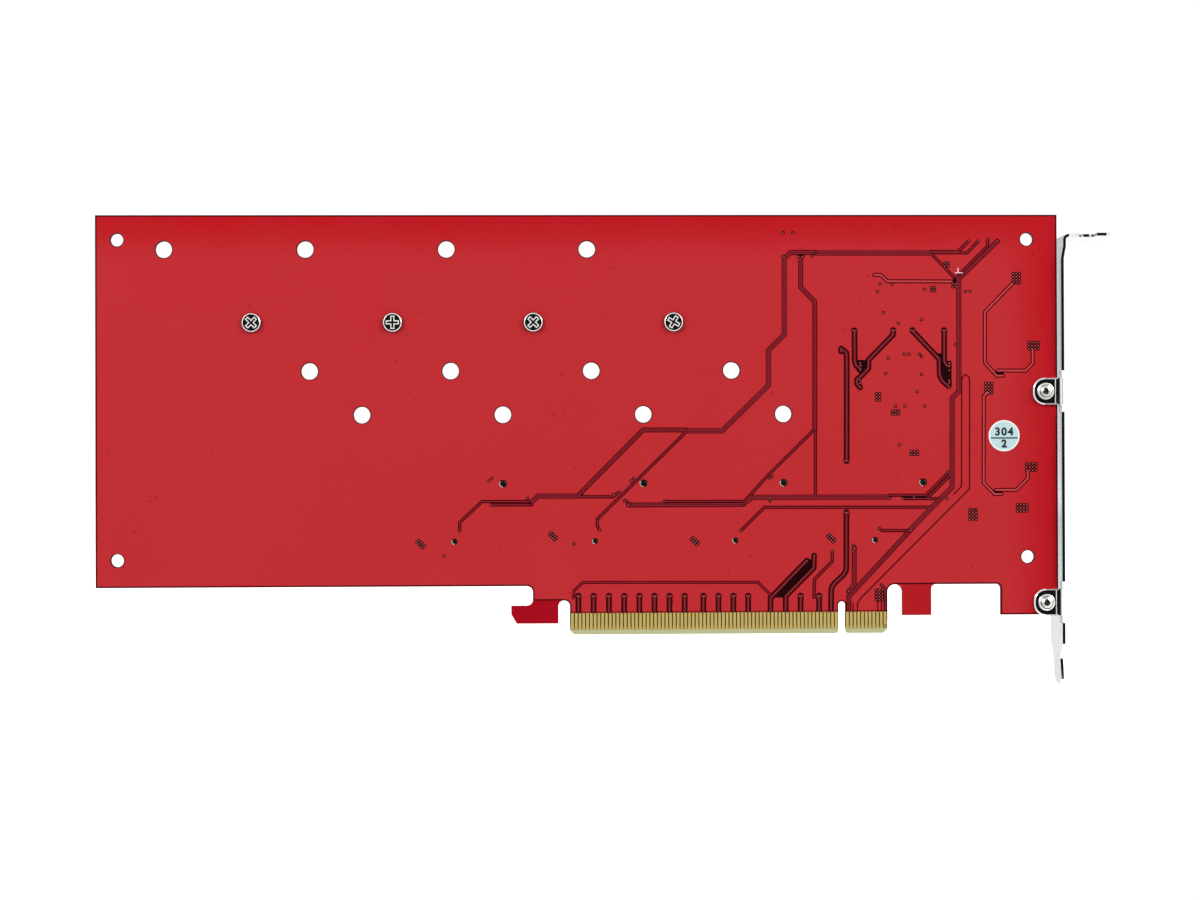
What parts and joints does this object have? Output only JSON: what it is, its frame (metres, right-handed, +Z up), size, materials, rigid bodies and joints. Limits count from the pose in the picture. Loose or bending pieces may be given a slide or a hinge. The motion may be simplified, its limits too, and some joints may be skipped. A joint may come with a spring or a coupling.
{
  "type": "nvme adapter card",
  "caption": "Full-height PCI Express x16 adapter card with slanted M.2 drive places, seen from its red solder side, with gold edge contacts and a folded metal slot bracket.",
  "frame": {"origin": "middle of the key slot in the card edge, at the bottom of the contacts and half way through the board", "axes": "+X along the card towards its bracket, +Y out of the component side, +Z up from the edge contacts"},
  "size_m": [0.2684, 0.0216, 0.1251],
  "materials": {
    "board_red": "satin solder mask over copper",
    "contact_gold": "gold plated",
    "bracket_steel": "bright nickel plated",
    "screw_nickel": "nickel plated",
    "screw_black": "black, with bright edges",
    "standoff_brass": "machined",
    "capacitor_tan": "matt",
    "chip_black": "moulded",
    "resistor_black": "satin",
    "led_clear": "clear",
    "sticker_paper": "printed",
    "inductor_grey": "moulded ferrite",
    "bulk_capacitor_dark": "moulded",
    "solder_tin": "tinned",
    "socket_black": "moulded"
  },
  "bodies": {
    "root": {"bracket": "bracket_steel", "bracket_nuts": "screw_nickel", "bracket_screws": "screw_nickel", "bulk_capacitor_1": "bulk_capacitor_dark", "bulk_capacitor_2": "bulk_capacitor_dark", "bulk_capacitor_3": "bulk_capacitor_dark", "bulk_capacitor_4": "bulk_capacitor_dark", "clock_buffer": "chip_black", "clock_capacitors": "capacitor_tan", "clock_resistors": "resistor_black", "drive_screws": "screw_nickel", "drive_standoffs": "standoff_brass", "edge_contacts_front": "contact_gold", "edge_contacts_rear": "contact_gold", "inspection_sticker": "sticker_paper", "led_resistors": "resistor_black", "m2_socket_1": "socket_black", "m2_socket_1_anchors": "solder_tin", "m2_socket_2": "socket_black", "m2_socket_2_anchors": "solder_tin", "m2_socket_3": "socket_black", "m2_socket_3_anchors": "solder_tin", "m2_socket_4": "socket_black", "m2_socket_4_anchors": "solder_tin", "pcb": "board_red", "power_capacitors": "capacitor_tan", "power_inductor_1": "inductor_grey", "power_inductor_2": "inductor_grey", "socket_capacitors": "capacitor_tan", "standoff_screws": "screw_black", "status_leds": "led_clear", "voltage_regulator_1": "chip_black", "voltage_regulator_2": "chip_black"}
  },
  "joints": []
}
